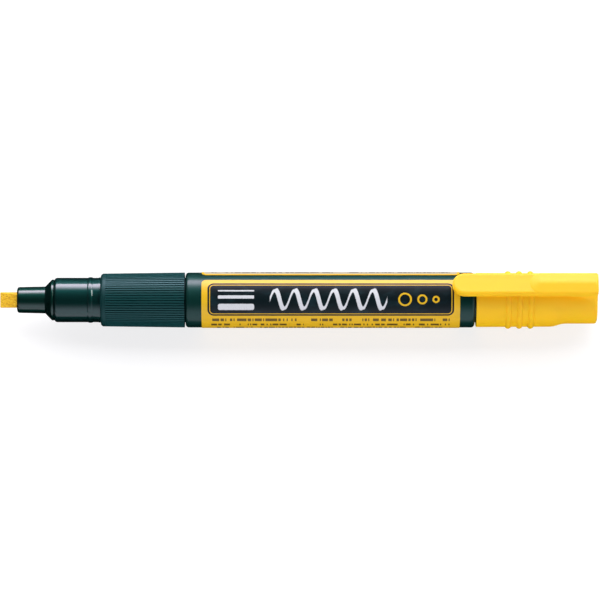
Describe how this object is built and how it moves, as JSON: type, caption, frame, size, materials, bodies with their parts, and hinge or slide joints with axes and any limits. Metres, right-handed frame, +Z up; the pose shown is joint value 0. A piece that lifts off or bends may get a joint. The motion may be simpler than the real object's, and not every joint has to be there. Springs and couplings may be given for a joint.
{
  "type": "liquid chalk marker",
  "caption": "Pen-shaped liquid chalk marker with a spring-valve chisel nib, ribbed grip, labelled ink barrel and a clip cap posted on its tail.",
  "frame": {"origin": "under the middle of the marker's length, on the surface that the cap's beads rest on", "axes": "+X along the axis from the nib to the cap, +Z up through the clip, +Y across"},
  "size_m": [0.1492, 0.0144, 0.0174],
  "materials": {
    "nib": "bonded fibre",
    "nib_holder": "glossy",
    "grip_section": "glossy shaft, satin grip",
    "barrel": "glossy",
    "label": "printed film",
    "valve_body": "as moulded",
    "valve_seat": "soft",
    "valve_stem": "as moulded",
    "return_spring": "drawn wire",
    "spring_retainer": "as moulded",
    "mixing_balls": "polished",
    "cap_shell": "satin gloss",
    "cap_clip": "satin gloss",
    "inner_cap": "as moulded"
  },
  "bodies": {
    "marker": {"nib_holder": "nib_holder", "grip_section": "grip_section", "barrel": "barrel", "label": "label", "valve_body": "valve_body", "valve_seat": "valve_seat", "return_spring": "return_spring", "spring_retainer": "spring_retainer"},
    "plunger": {"nib": "nib", "valve_stem": "valve_stem"},
    "balls": {"mixing_balls": "mixing_balls"},
    "cap": {"cap_shell": "cap_shell", "inner_cap": "inner_cap"},
    "clip": {"cap_clip": "cap_clip"}
  },
  "joints": [
    {"name": "cap_pull", "type": "slide", "parent": "marker", "child": "cap", "axis": [1, 0, 0], "range_m": [0, 0.03]},
    {"name": "nib_press", "type": "slide", "parent": "marker", "child": "plunger", "axis": [1, 0, 0], "range_m": [0, 0.0018], "stiffness_N_per_m": 500, "springref_m": -0.0012, "deforming": ["return_spring"]},
    {"name": "balls_roll", "type": "slide", "parent": "marker", "child": "balls", "axis": [1, 0, 0], "range_m": [-0.02725, 0.0196]},
    {"name": "clip_flex", "type": "hinge", "parent": "cap", "child": "clip", "pos_m": [0.06765, 0, 0.0175], "axis": [0, 1, 0], "range_deg": [0, 4], "stiffness_Nm_per_rad": 0.6}
  ]
}
